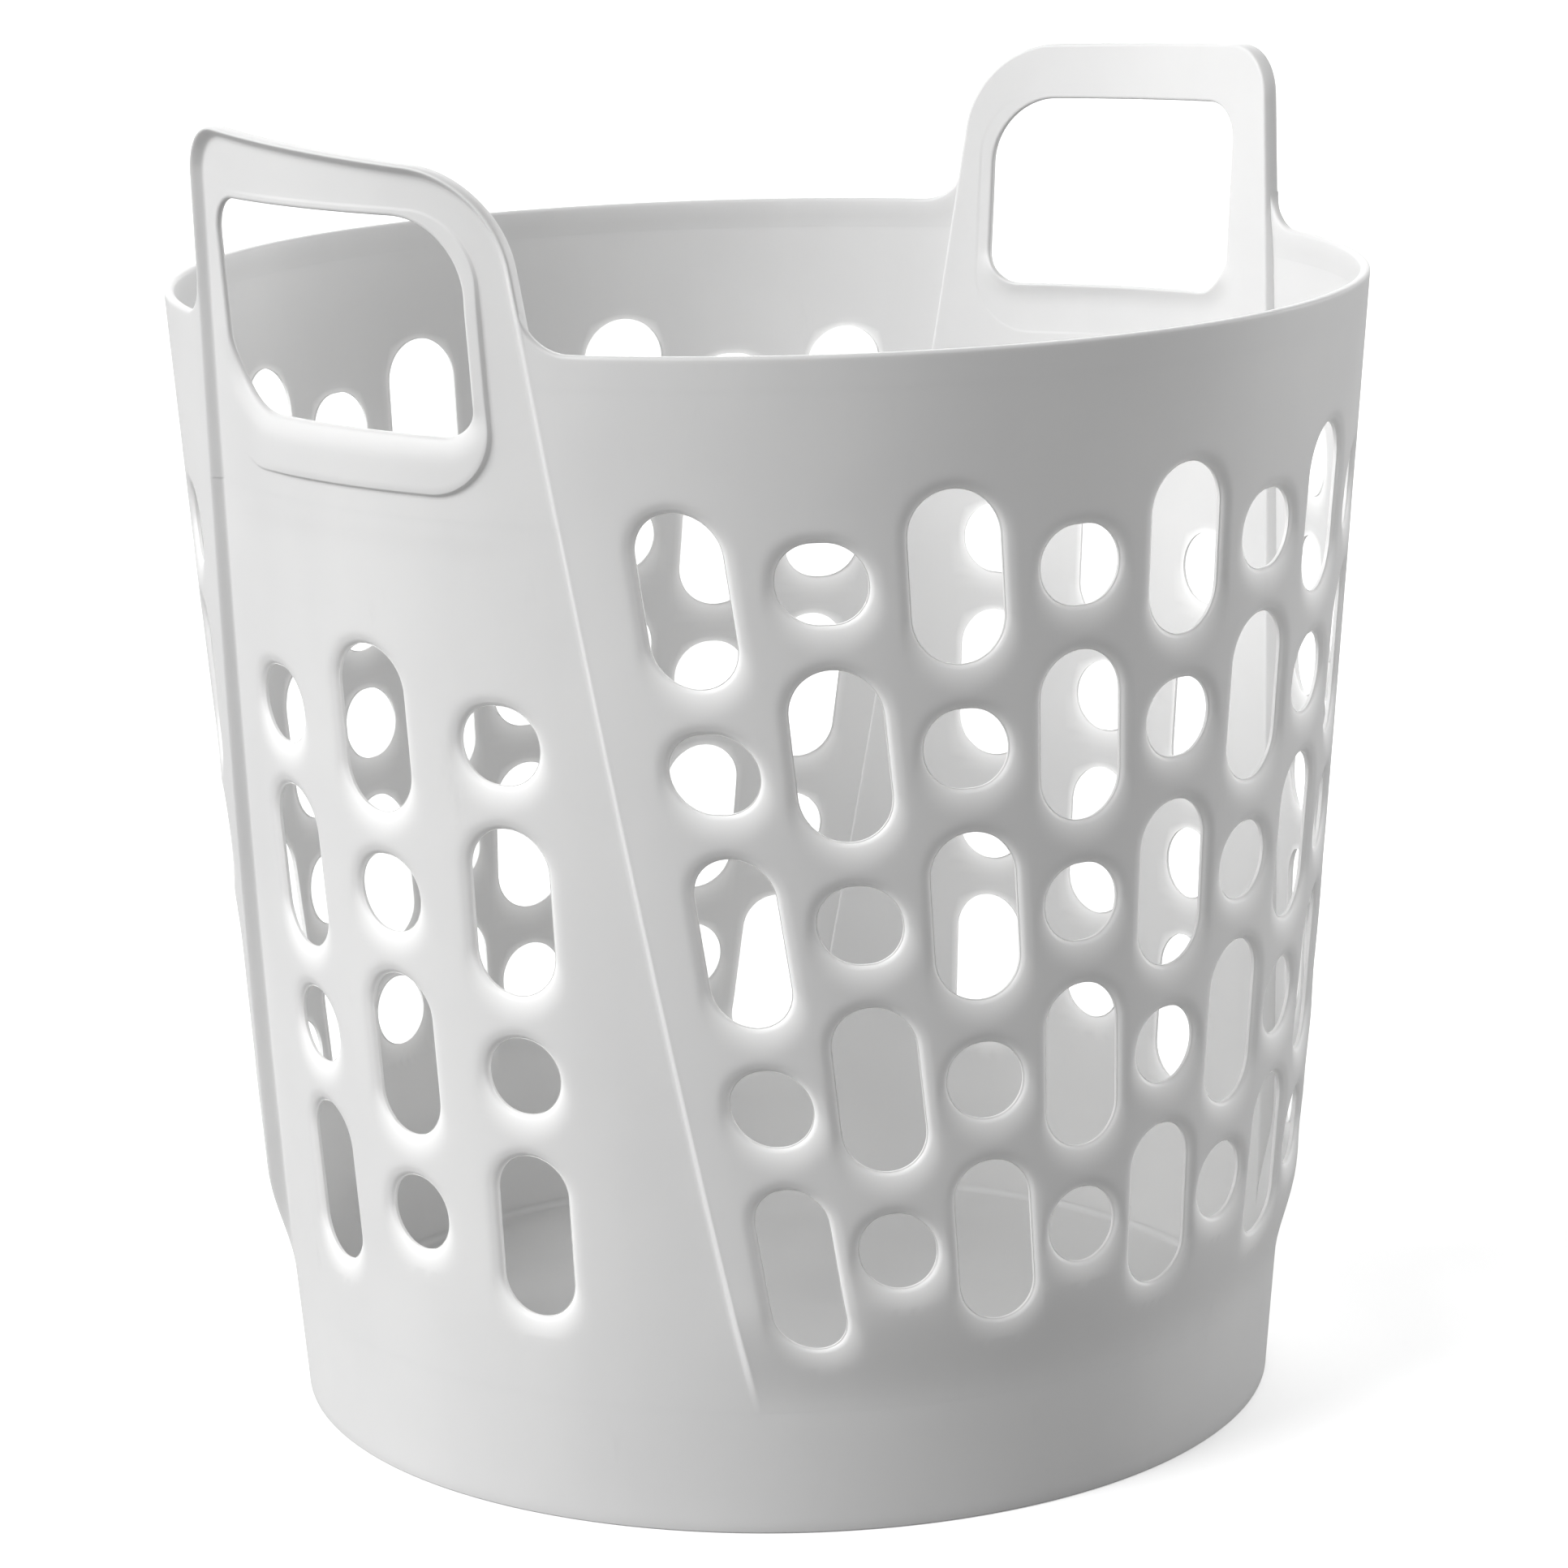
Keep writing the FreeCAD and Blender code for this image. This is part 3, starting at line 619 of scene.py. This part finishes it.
@dataclass
class Handle(BasketPiece):
    """A loop handle: the top of a side panel, with a lip round it and a hand opening in it.

    A lip strip runs up one side, round the top and down the other, and rings fill the space
    between it and the opening.  A ring's points lie on lines from the border to the nearest
    point of a smaller figure inside the opening, so the rings round the corners.
    """

    wide_radius: float = 36.0
    tight_radius: float = 19.0
    crown_height: float = 460.5
    crown_slope: float = 0.075
    opening_middle: float = -3.0
    opening_half_width: float = 58.0
    opening_bottom: float = 371.0
    opening_top: float = 441.0
    opening_tilt: float = 0.0
    opening_tight: float = 13.0
    opening_wide: float = 25.0
    wide_corners: tuple = ((1.0, 1.0), (-1.0, -1.0))
    collar_rise: float = 1.4
    collar_side: float = 5.6
    collar_bottom: float = 19.5
    collar_top: float = 3.0
    collar_corner: float = 24.0
    collar_foot: float = 1.3
    collar_least: float = 3.2
    collar_gap: float = 0.4
    collar_top_share: float = 0.15
    collar_low: float = 408.0
    collar_fade: float = 30.0
    collar_tight_end: float = -62.0
    collar_tight_fade: float = 40.0
    collar_inner_share: float = 0.1
    curl_depth: float = 2.4
    curl_spread: float = 1.4
    curl_reach: float = 8.5
    edge_radius: float = 1.15
    lip_radius: float = 0.9
    lip_start: float = 9.0
    lip_fade: float = 5.0

    OUTSIDE = (1.0, 0.75, 0.5, 0.3, 0.12)
    SLOPE = (0.0, 0.14, 0.28, 0.42, 0.58, 0.72, 0.86, 1.0)
    FLAT = (0.85, 0.7, 0.55, 0.42, 0.31, 0.22, 0.14, 0.07)
    SEARCH_STEPS = 40
    SIDE_POINTS, CORNER_POINTS, CROWN_POINTS = 41, 21, 27

    def half_outline(self, side: float, radius: float) -> tuple[Array, Array]:
        """One side and its top corner, upwards: points and directions out of the handle.

        Args:
            side: 1 for the side at positive azimuth, -1 for the other.
            radius: of the corner, which touches the leaning side and the sloping crown.
        """
        lean, tilt = math.atan(FORM.panel_lean), math.atan(self.crown_slope)
        lines = np.array([[side * math.cos(lean), math.sin(lean)],
                          [math.sin(tilt), math.cos(tilt)]])
        reach = np.array([FORM.edge_half_width(0.0) * math.cos(lean) - radius,
                          self.crown_height * math.cos(tilt) - radius])
        centre = np.linalg.solve(lines, reach)
        side_top = centre[1] + radius * math.sin(lean)
        z = np.linspace(FORM.handle_split, side_top, self.SIDE_POINTS)[:-1]
        turn = lean * (z - FORM.handle_split) / (side_top - FORM.handle_split)
        arc = np.linspace(lean, math.pi / 2 - side * tilt, self.CORNER_POINTS)
        points = np.concatenate([
            np.stack([side * FORM.edge_half_width(z), z], axis=1),
            centre + radius * np.stack([side * np.cos(arc), np.sin(arc)], axis=1)])
        angle = np.concatenate([turn, arc])
        return points, np.stack([side * np.cos(angle), np.sin(angle)], axis=1)

    def contour(self) -> tuple[Array, Array, Array]:
        """Outline of the handle from its lower right corner over the top to the lower left.

        Returns:
            Points (n, 2) across and up, unit directions (n, 2) into the handle, and how free
            the edge is: 0 where a wall or rim joins it, 1 above.
        """
        right, right_out = self.half_outline(1.0, self.wide_radius)
        left, left_out = self.half_outline(-1.0, self.tight_radius)
        share = np.linspace(0.0, 1.0, self.CROWN_POINTS)[1:-1, None]
        crown = right[-1] + share * (left[-1] - right[-1])
        points = np.concatenate([right, crown, left[::-1]])
        outward = np.concatenate([right_out, np.tile(right_out[-1], (len(crown), 1)),
                                  left_out[::-1]])
        free = smooth((points[:, 1] - FORM.rim_height - self.lip_start) / self.lip_fade)
        return points, -outward, free

    def surface(self, y: Array, z: Array, inside: bool, rise: Array | float,
                setback: Array | float = 0.0) -> Array:
        """Points on one skin of the handle, which rises out of the panel's cone; a setback
        moves them back from it towards the other skin."""
        azimuth = FORM.side_azimuth(y, z)
        radius = FORM.panel(z) + FORM.ledge(azimuth, z) + rise
        radius = radius - FORM.skin + setback if inside else radius - setback
        return FORM.place(self.middle + azimuth, z, radius)

    def fill(self, skin: Skin) -> None:
        """Lip strip, rings and caps."""
        points, inward, free = self.contour()
        y, z = (points[None, :, i] + FLANK_LINES[:, None] * inward[None, :, i] for i in range(2))
        deep = np.broadcast_to(FLANK_LINES[:, None], y.shape)
        lip = FORM.flank(deep, z)
        outer_drop = corner_drop(deep, self.lip_radius) * free[None, :]
        inner_drop = corner_drop(deep, FORM.inner_round)
        outer = self.surface(y, z, False, lip, outer_drop)
        inner = self.surface(y, z, True, 0.0, inner_drop)
        skin.grid(outer)
        skin.grid(inner)
        skin.join(outer[-1], inner[-1])
        for end in (0, -1):
            skin.join(outer[:, end], inner[:, end])

        panel = SidePanel("panel_below")
        s = panel.lines()
        s = s[np.abs(s) <= panel.columns / 2.0 + panel.strips]
        base_z = np.full(len(s), FORM.handle_split)
        base_y = FORM.panel(base_z) * np.sin(np.radians(panel.azimuth(s, base_z)))
        base_y[0], base_y[-1] = y[0, -1], y[0, 0]
        border_y = np.concatenate([y[0], base_y[1:-1]])
        border_z = np.concatenate([z[0], base_z[1:-1]])
        skin.grid(self.rings(border_y, border_z), wrap=True)
        skin.join(*(self.surface(base_y, base_z, inside, 0.0) for inside in (False, True)))

    def spine(self, y: Array, z: Array) -> tuple[Array, Array]:
        """Nearest points of a figure that lies inside the opening, a tight corner's radius
        from its edge all round: sharp at the tight corners, round at the wide ones."""
        radius, extra = self.opening_tight, self.opening_wide - self.opening_tight
        half = self.opening_half_width - radius
        low, high = self.opening_bottom + radius, self.opening_top - radius
        y = y - self.opening_middle
        z = z + self.opening_tilt * y
        near_y, near_z = np.clip(y, -half, half), np.clip(z, low, high)
        for side, up in self.wide_corners:
            level = high if up > 0.0 else low
            v, w = y - side * (half - extra), z - (level - up * extra)
            corner = (side * v > 0.0) & (up * w > 0.0)
            length = np.where(corner, np.hypot(v, w), 1.0)
            near_y = np.where(corner, side * (half - extra) + extra * v / length, near_y)
            near_z = np.where(corner, level - up * extra + extra * w / length, near_z)
        return near_y + self.opening_middle, near_z - self.opening_tilt * near_y

    def collar_distance(self, y: Array, z: Array) -> Array:
        """Distance from points to the collar's outline, a rounded rectangle; inside it is
        negative."""
        low, high = self.opening_bottom - self.collar_bottom, self.opening_top + self.collar_top
        half = self.opening_half_width + self.collar_side - self.collar_corner
        y = y - self.opening_middle
        z = z + self.opening_tilt * y
        u = np.abs(y) - half
        v = np.abs(z - (low + high) / 2.0) - ((high - low) / 2.0 - self.collar_corner)
        return (np.hypot(np.maximum(u, 0.0), np.maximum(v, 0.0))
                + np.minimum(np.maximum(u, v), 0.0) - self.collar_corner)

    def rings(self, border_y: Array, border_z: Array) -> Array:
        """Rings from the border over the collar, round the opening's edge and back on the
        inside, as points of shape (rings, border points, 3)."""
        radius = self.opening_tight
        cy, cz = self.spine(border_y, border_z)
        reach = np.hypot(border_y - cy, border_z - cz)
        dy, dz = (border_y - cy) / reach, (border_z - cz) / reach
        free = reach - radius

        foot_end = np.zeros_like(free)
        for _ in range(self.SEARCH_STEPS):
            foot_end -= self.collar_distance(cy + (radius + foot_end) * dy,
                                             cz + (radius + foot_end) * dz)
        foot_end = np.clip(foot_end, self.collar_least, free - self.collar_gap)
        foot = self.collar_foot
        foot_start = foot_end - foot
        upper = smooth((cz + radius * dz - self.collar_low) / self.collar_fade)
        rise = self.collar_rise * (1.0 - (1.0 - self.collar_top_share) * upper)
        rise *= smooth((border_y - self.collar_tight_end) / self.collar_tight_fade)
        curl = self.curl_depth * smooth(-self.curl_spread * dz)

        # each ring: its distance from the opening, its setback, and whether it is inside
        edge = self.edge_radius
        away = [foot_end + part * (free - foot_end) for part in self.OUTSIDE]
        away += [foot_end - part * foot for part in self.SLOPE]
        away += [edge + part * (foot_start - edge) for part in self.FLAT]
        flat, round_off = (edge * (1.0 - turn(QUARTER_TURNS)) for turn in (np.sin, np.cos))
        plan = [(distance, 0.0, False) for distance in away]
        plan += [(distance, back, False) for distance, back in zip(flat, round_off)]
        plan += [(distance, back, True) for distance, back in zip(round_off, flat)]
        plan += [(distance, 0.0, True) for distance in away[::-1]]

        rows = []
        for distance, back, inside in plan:
            y, z = cy + (radius + distance) * dy, cz + (radius + distance) * dz
            collar = rise * (1.0 - smooth((distance - foot_start) / foot))
            inward = curl * np.clip(1.0 - distance / self.curl_reach, 0.0, 1.0) ** 2
            out = (self.collar_inner_share if inside else 1.0) * collar - inward
            rows.append(self.surface(y, z, inside, out, back))
        return np.stack(rows)


@dataclass
class Rim(BasketPiece):
    """The thicker band round the mouth, swept up in a round at each end to the handle."""

    sweep_radius: float = 14.0
    band: float = 3.4
    top_radius: float = 1.25
    gap_share: float = 0.85
    thicken_share: float = 0.8
    segments: int = 150
    sweep_points: int = 15

    def sweep(self) -> tuple[Array, Array, Array, Array]:
        """The rim's free edge along one sweep, from the handle down to the level rim: across
        and up of its points, and across and up of its direction away from the rim."""
        lean = math.atan(FORM.panel_lean)
        up = FORM.rim_height + self.sweep_radius
        across = FORM.edge_half_width(up) + self.sweep_radius / math.cos(lean)
        arc = np.linspace(math.pi + lean, 1.5 * math.pi, self.sweep_points)
        return (across + self.sweep_radius * np.cos(arc), up + self.sweep_radius * np.sin(arc),
                -np.cos(arc), -np.sin(arc))

    def fill(self, skin: Skin) -> None:
        """One closed profile carried along the edge, and a cap at each end."""
        y, z, ny, nz = self.sweep()
        low = FORM.wall_top
        # where the columns of the sweep stand at the bottom of the band
        share = (y - y[0]) / (y[-1] - y[0])
        base = FORM.edge_half_width(low) + share * (y[-1] - FORM.edge_half_width(low))
        side = 90.0 - FORM.side_azimuth(y, z)
        level = side[-1] - 2.0 * side[-1] * np.arange(1, self.segments) / self.segments
        gap = np.minimum(self.top_radius, self.gap_share * (y - FORM.edge_half_width(z)))

        lines = []
        for part, depth, back in self.profile():
            top_y, top_z = y - ny * gap * depth, z - nz * gap * depth
            line_y = base + part * (top_y - base)
            line_z = low + part * (top_z - low)
            azimuth = 90.0 - FORM.side_azimuth(line_y, line_z)
            middle_z = low + part * (FORM.rim_height - self.top_radius * depth - low)
            heights = np.concatenate([line_z, np.full(len(level), middle_z), line_z[::-1]])
            azimuth = np.concatenate([azimuth, level, -azimuth[::-1]])
            lines.append(FORM.place(self.middle + azimuth, heights, FORM.wall(heights) - back))
        points = np.stack(lines)
        skin.grid(points)
        skin.join(points[0], points[-1])
        half = len(lines) // 2
        for end in (0, -1):
            skin.join(points[:half, end], points[::-1][:half, end])

    def profile(self) -> list[tuple[float, float, float]]:
        """The band's cross section, up its outside, over the edge and down its inside.

        Returns:
            For each of an even number of points, the part of the way up the band, the depth
            under its edge as a share of the edge's round, and how far back it lies.
        """
        extra = self.band - FORM.skin
        over = [(1.0, 1.0 - math.sin(turn), self.top_radius * (1.0 - math.cos(turn)))
                for turn in QUARTER_TURNS]
        back_over = [(part, depth, self.band - back) for part, depth, back in over[::-1]]
        up = [(part, 1.0, 0.0) for part in (0.0, 0.25, 0.5, 0.75, 0.9)]
        down = [(part, 1.0, FORM.skin + extra * smooth(part / self.thicken_share))
                for part in (0.85, 0.6, 0.4, 0.2, 0.0)]
        return up + over + back_over + down


@dataclass
class FootRing(BasketPiece):
    """The plain band that the basket stands on."""

    segments: int = 288
    lower_radius: float = 0.8
    side_points: int = 12

    def fill(self, skin: Skin) -> None:
        """A closed profile turned about the axis."""
        turns = np.radians([30.0, 60.0, 90.0])
        side = np.linspace(FORM.foot_height, self.lower_radius, self.side_points)
        z = np.concatenate([side, self.lower_radius * (1.0 - np.sin(turns))])
        back = np.concatenate([np.zeros(len(side)), self.lower_radius * (1.0 - np.cos(turns))])
        outer = FORM.foot(z) - back
        inner = FORM.foot(z) - FORM.skin + back
        skin.turned(np.concatenate([outer, inner[::-1], outer[:1]]),
                    np.concatenate([z, z[::-1], z[:1]]), self.segments)


@dataclass
class Floor(BasketPiece):
    """The flat floor inside the foot ring, with a soft round where it meets the ring and a
    shallow hollow at its centre."""

    underside: float = 6.0
    thickness: float = 3.0
    fillet: float = 2.5
    hollow_depth: float = 0.6
    hollow_radius: float = 20.0
    hollow_edge: float = 6.0
    segments: int = 288
    flat_points: int = 34
    fillet_points: int = 6

    def fill(self, skin: Skin) -> None:
        """A profile turned about the axis, with both its ends on the axis."""
        high = self.underside + self.thickness
        edge_low = FORM.foot(self.underside) - FORM.skin
        edge_high = FORM.foot(high) - FORM.skin
        turns = np.radians(np.linspace(0.0, 90.0, self.fillet_points))
        curve_r = edge_high - self.fillet + self.fillet * np.sin(turns)
        curve_z = high + self.fillet - self.fillet * np.cos(turns)
        curve_r = np.minimum(curve_r, FORM.foot(curve_z) - FORM.skin)
        flat_r = np.linspace(0.0, edge_high - self.fillet, self.flat_points)
        hollow = self.hollow_depth * (1.0 - smooth((flat_r - self.hollow_radius)
                                                   / self.hollow_edge))
        skin.turned(np.concatenate([flat_r, curve_r[1:], [edge_low], flat_r[::-1]]),
                    np.concatenate([high - hollow, curve_z[1:], [self.underside],
                                    np.full(len(flat_r), self.underside)]), self.segments)


# ---------- finish

class Wire:
    """A shader socket that sums and scales like a number."""

    def __init__(self, shader: "Shader", socket: bpy.types.NodeSocket) -> None:
        """Wrap a socket of a shader's tree."""
        self.shader, self.socket = shader, socket

    def math(self, operation: str, *values: "Wire | float") -> "Wire":
        """One Math node on this value and others."""
        return self.shader.node("ShaderNodeMath", {"operation": operation},
                                dict(enumerate((self, *values))))

    def __add__(self, other: "Wire | float") -> "Wire":
        """Sum."""
        return self.math("ADD", other)

    __radd__ = __add__

    def __mul__(self, other: "Wire | float") -> "Wire":
        """Product."""
        return self.math("MULTIPLY", other)

    __rmul__ = __mul__

    def between(self, low: float, high: float) -> "Wire":
        """Smooth rise from 0 at low to 1 at high."""
        return self.shader.node("ShaderNodeMapRange", {"interpolation_type": "SMOOTHSTEP"},
                                {"Value": self, "From Min": low, "From Max": high})


class Shader:
    """The node tree of a material or world, and the few ways in which nodes are added."""

    def __init__(self, owner: bpy.types.Material | bpy.types.World, main: str) -> None:
        """Start with the default nodes, of which one is the main shader."""
        owner.use_nodes = True
        self.tree = owner.node_tree
        self.main = self.tree.nodes[main].inputs

    def node(self, kind: str, settings: dict, values: dict, output: str | int = 0) -> Wire:
        """Add a node with its settings, and values in its sockets; gives its output's wire."""
        made = self.tree.nodes.new(kind)
        for key, value in settings.items():
            setattr(made, key, value)
        self.feed(made.inputs, values)
        return Wire(self, made.outputs[output])

    def feed(self, sockets: bpy.types.bpy_prop_collection, values: dict) -> None:
        """Set sockets to numbers or link them, by name or number."""
        for key, value in values.items():
            if isinstance(value, Wire):
                self.tree.links.new(value.socket, sockets[key])
            else:
                sockets[key].default_value = value

    def noise(self, scale: float, detail: float = 2.0, stretch: tuple = (1.0, 1.0, 1.0),
              rough: float = 0.5) -> Wire:
        """Soft noise in space, in lumps per metre, stretched along the axes."""
        place = self.node("ShaderNodeTexCoord", {}, {}, "Object")
        where = self.node("ShaderNodeMapping", {}, {"Vector": place, "Scale": stretch})
        return self.node("ShaderNodeTexNoise", {}, {"Vector": where, "Scale": scale,
                                                     "Detail": detail, "Roughness": rough})

    def blend(self, share: Wire, low: "Wire | tuple", high: "Wire | tuple") -> Wire:
        """Mix two colours."""
        return self.node("ShaderNodeMix", {"data_type": "RGBA"},
                         {"Factor": share, "A": low, "B": high}, "Result")


class PlasticFinish:
    """Satin white polyethylene, which lets a little light in.

    Its colour is mottled in soft clouds with faint scuffs, its gloss varies with the same
    clouds, and its surface has a fine grain and slow waves.  Round the edge of each hole,
    reaching further below it, a paler colour is painted in as a painted glow of light.
    """

    slot = "white_plastic"

    def __init__(self) -> None:
        """Mix the plastic."""
        self.material = bpy.data.materials.new("white_plastic")
        shader = Shader(self.material, "Principled BSDF")
        clouds = shader.noise(9.0, 3.0)
        streaks = shader.noise(14.0, 4.0, (1.0, 1.0, 0.12))
        scuffs = shader.noise(38.0, 6.0, (1.0, 1.0, 0.35), 0.65).between(0.62, 0.78)
        tone = 0.65 * clouds + 0.35 * streaks
        plain, pale = (0.70, 0.70, 0.70, 1.0), (0.76, 0.76, 0.757, 1.0)
        # worn is the colour of the scuffs; the other is a painted glow of light for the holes'
        # edges
        worn, glow_colour = (0.60, 0.60, 0.595, 1.0), (0.98, 0.98, 0.975, 1.0)
        colour = shader.blend(tone.between(0.3, 0.7), plain, pale)
        colour = shader.blend(0.22 * scuffs, colour, worn)
        # share of painted glow of light round the holes, read from the point attribute
        glow_share = shader.node("ShaderNodeAttribute", {"attribute_name": PAINTED_GLOW_ATTRIBUTE}, {}, "Fac")
        grain = shader.noise(1500.0, 2.0)
        waves = shader.noise(22.0, 1.0)
        bump = shader.node("ShaderNodeBump", {}, {"Strength": 0.25, "Distance": 0.0002,
                                                  "Height": 0.35 * grain + 3.0 * waves})
        shader.feed(shader.main, {
            # the base colour takes the painted glow of light round the holes
            "Base Color": shader.blend(glow_share, colour, glow_colour),
            "Roughness": 0.40 + 0.16 * streaks + 0.10 * scuffs,
            "Normal": bump,
            "Specular IOR Level": 0.4,
            "Subsurface Weight": 0.12,
            "Subsurface Radius": (1.0, 0.95, 0.9),
            "Subsurface Scale": 0.002,
        })


# ---------- stage

def direction(azimuth: float, elevation: float) -> Vector:
    """Unit vector out from the axis at an azimuth, raised by an elevation."""
    around, up = math.radians(azimuth), math.radians(elevation)
    return Vector((math.sin(around) * math.cos(up), -math.cos(around) * math.cos(up),
                   math.sin(up)))


@dataclass
class Studio:
    """Pale floor, soft light and the camera."""

    distance: float = 1738.0
    camera_azimuth: float = -47.4
    camera_elevation: float = 13.6
    target_height: float = 212.3
    roll: float = -1.09
    sensor: float = 36.0
    lens: float = 111.52
    shift_x: float = 0.00455
    shift_y: float = 0.0044
    lamp_distance: float = 2500.0
    floor_half: float = 12000.0

    def camera(self) -> None:
        """Long lens a little above the rim, turned to the left front."""
        back = direction(self.camera_azimuth, self.camera_elevation)
        level = direction(self.camera_azimuth + 90.0, 0.0)
        upright = back.cross(level)
        roll = math.radians(self.roll)
        right = level * math.cos(roll) + upright * math.sin(roll)
        top = upright * math.cos(roll) - level * math.sin(roll)
        data = bpy.data.cameras.new("camera")
        data.lens, data.sensor_width = self.lens, self.sensor
        data.shift_x, data.shift_y = self.shift_x, self.shift_y
        data.clip_start, data.clip_end = 0.05, 60.0
        camera = bpy.data.objects.new("camera", data)
        turn = Matrix((right, top, back)).transposed().to_4x4()
        target = Vector((0.0, 0.0, self.target_height * MM))
        camera.matrix_world = Matrix.Translation(target + back * self.distance * MM) @ turn
        bpy.context.scene.collection.objects.link(camera)
        bpy.context.scene.camera = camera

    def lamp(self, name: str, azimuth: float, elevation: float, spread: float,
             strength: float) -> None:
        """A large soft light from far away: its azimuth counts from the camera's side, and
        its spread is how wide it looks from the basket."""
        back = direction(self.camera_azimuth + azimuth, elevation)
        data = bpy.data.lights.new(name, "SUN")
        data.angle, data.energy = math.radians(spread), strength
        lamp = bpy.data.objects.new(name, data)
        lamp.location = back * self.lamp_distance * MM
        lamp.rotation_mode = "QUATERNION"
        lamp.rotation_quaternion = (-back).to_track_quat("-Z", "Y")
        bpy.context.scene.collection.objects.link(lamp)

    def floor(self) -> None:
        """Wide pale floor that throws less light back at the basket than its look suggests."""
        half = self.floor_half * MM
        mesh = bpy.data.meshes.new("studio_floor")
        mesh.from_pydata([(-half, -half, 0), (half, -half, 0), (half, half, 0),
                          (-half, half, 0)], [], [(0, 1, 2, 3)])
        floor = bpy.data.objects.new("studio_floor", mesh)
        bpy.context.scene.collection.objects.link(floor)
        material = bpy.data.materials.new("studio_floor")
        shader = Shader(material, "Principled BSDF")
        seen = shader.node("ShaderNodeLightPath", {}, {}, "Is Camera Ray")
        shader.feed(shader.main, {
            "Base Color": shader.blend(seen, (0.34, 0.34, 0.34, 1.0), (0.95, 0.95, 0.95, 1.0)),
            "Emission Color": (1.0, 1.0, 1.0, 1.0),
            "Emission Strength": 0.38 * seen,
            "Roughness": 0.9,
            "Specular IOR Level": 0.1,
        })
        mesh.materials.append(material)

    def world(self, seen: float, strength: float) -> None:
        """Even surroundings, which are seen white and light the basket more dimly."""
        world = bpy.data.worlds.new("surroundings")
        bpy.context.scene.world = world
        shader = Shader(world, "Background")
        camera_ray = shader.node("ShaderNodeLightPath", {}, {}, "Is Camera Ray")
        shader.feed(shader.main, {"Color": (1.0, 1.0, 1.0, 1.0),
                                  "Strength": strength + (seen - strength) * camera_ray})

    def set_up(self) -> None:
        """Camera, floor, surroundings and soft lights from all sides."""
        bpy.context.scene.view_settings.view_transform = "Standard"
        self.camera()
        self.floor()
        self.world(1.0, 0.15)
        self.lamp("key_light", -60.0, 34.0, 36.0, 2.6)
        self.lamp("left_light", -100.0, 15.0, 50.0, 1.0)
        self.lamp("right_light", 114.0, 8.0, 36.0, 1.6)
        self.lamp("back_light", 178.0, 16.0, 60.0, 2.0)
        self.lamp("fill_light", 36.0, 34.0, 50.0, 0.5)


# ---------- main


def main() -> None:
    """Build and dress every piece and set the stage."""
    logging.basicConfig(level=logging.INFO, format="%(message)s")
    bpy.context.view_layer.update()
    finish = PlasticFinish()
    pieces = [
        Floor("base_floor"),
        FootRing("foot_ring"),
        Wall("front_wall", 0.0),
        Wall("back_wall", 180.0),
        Rim("front_rim", 0.0),
        Rim("back_rim", 180.0),
        SidePanel("left_panel", -90.0),
        SidePanel("right_panel", 90.0),
        Handle("left_handle", -90.0),
        Handle("right_handle", 90.0, crown_height=462.0, crown_slope=0.045, opening_middle=4.5,
               opening_half_width=56.5, opening_tilt=0.035, wide_corners=((1.0, 1.0),)),
    ]
    for piece in pieces:
        piece.make(finish)
    Studio().set_up()
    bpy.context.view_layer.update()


if __name__ == "__main__":
    main()
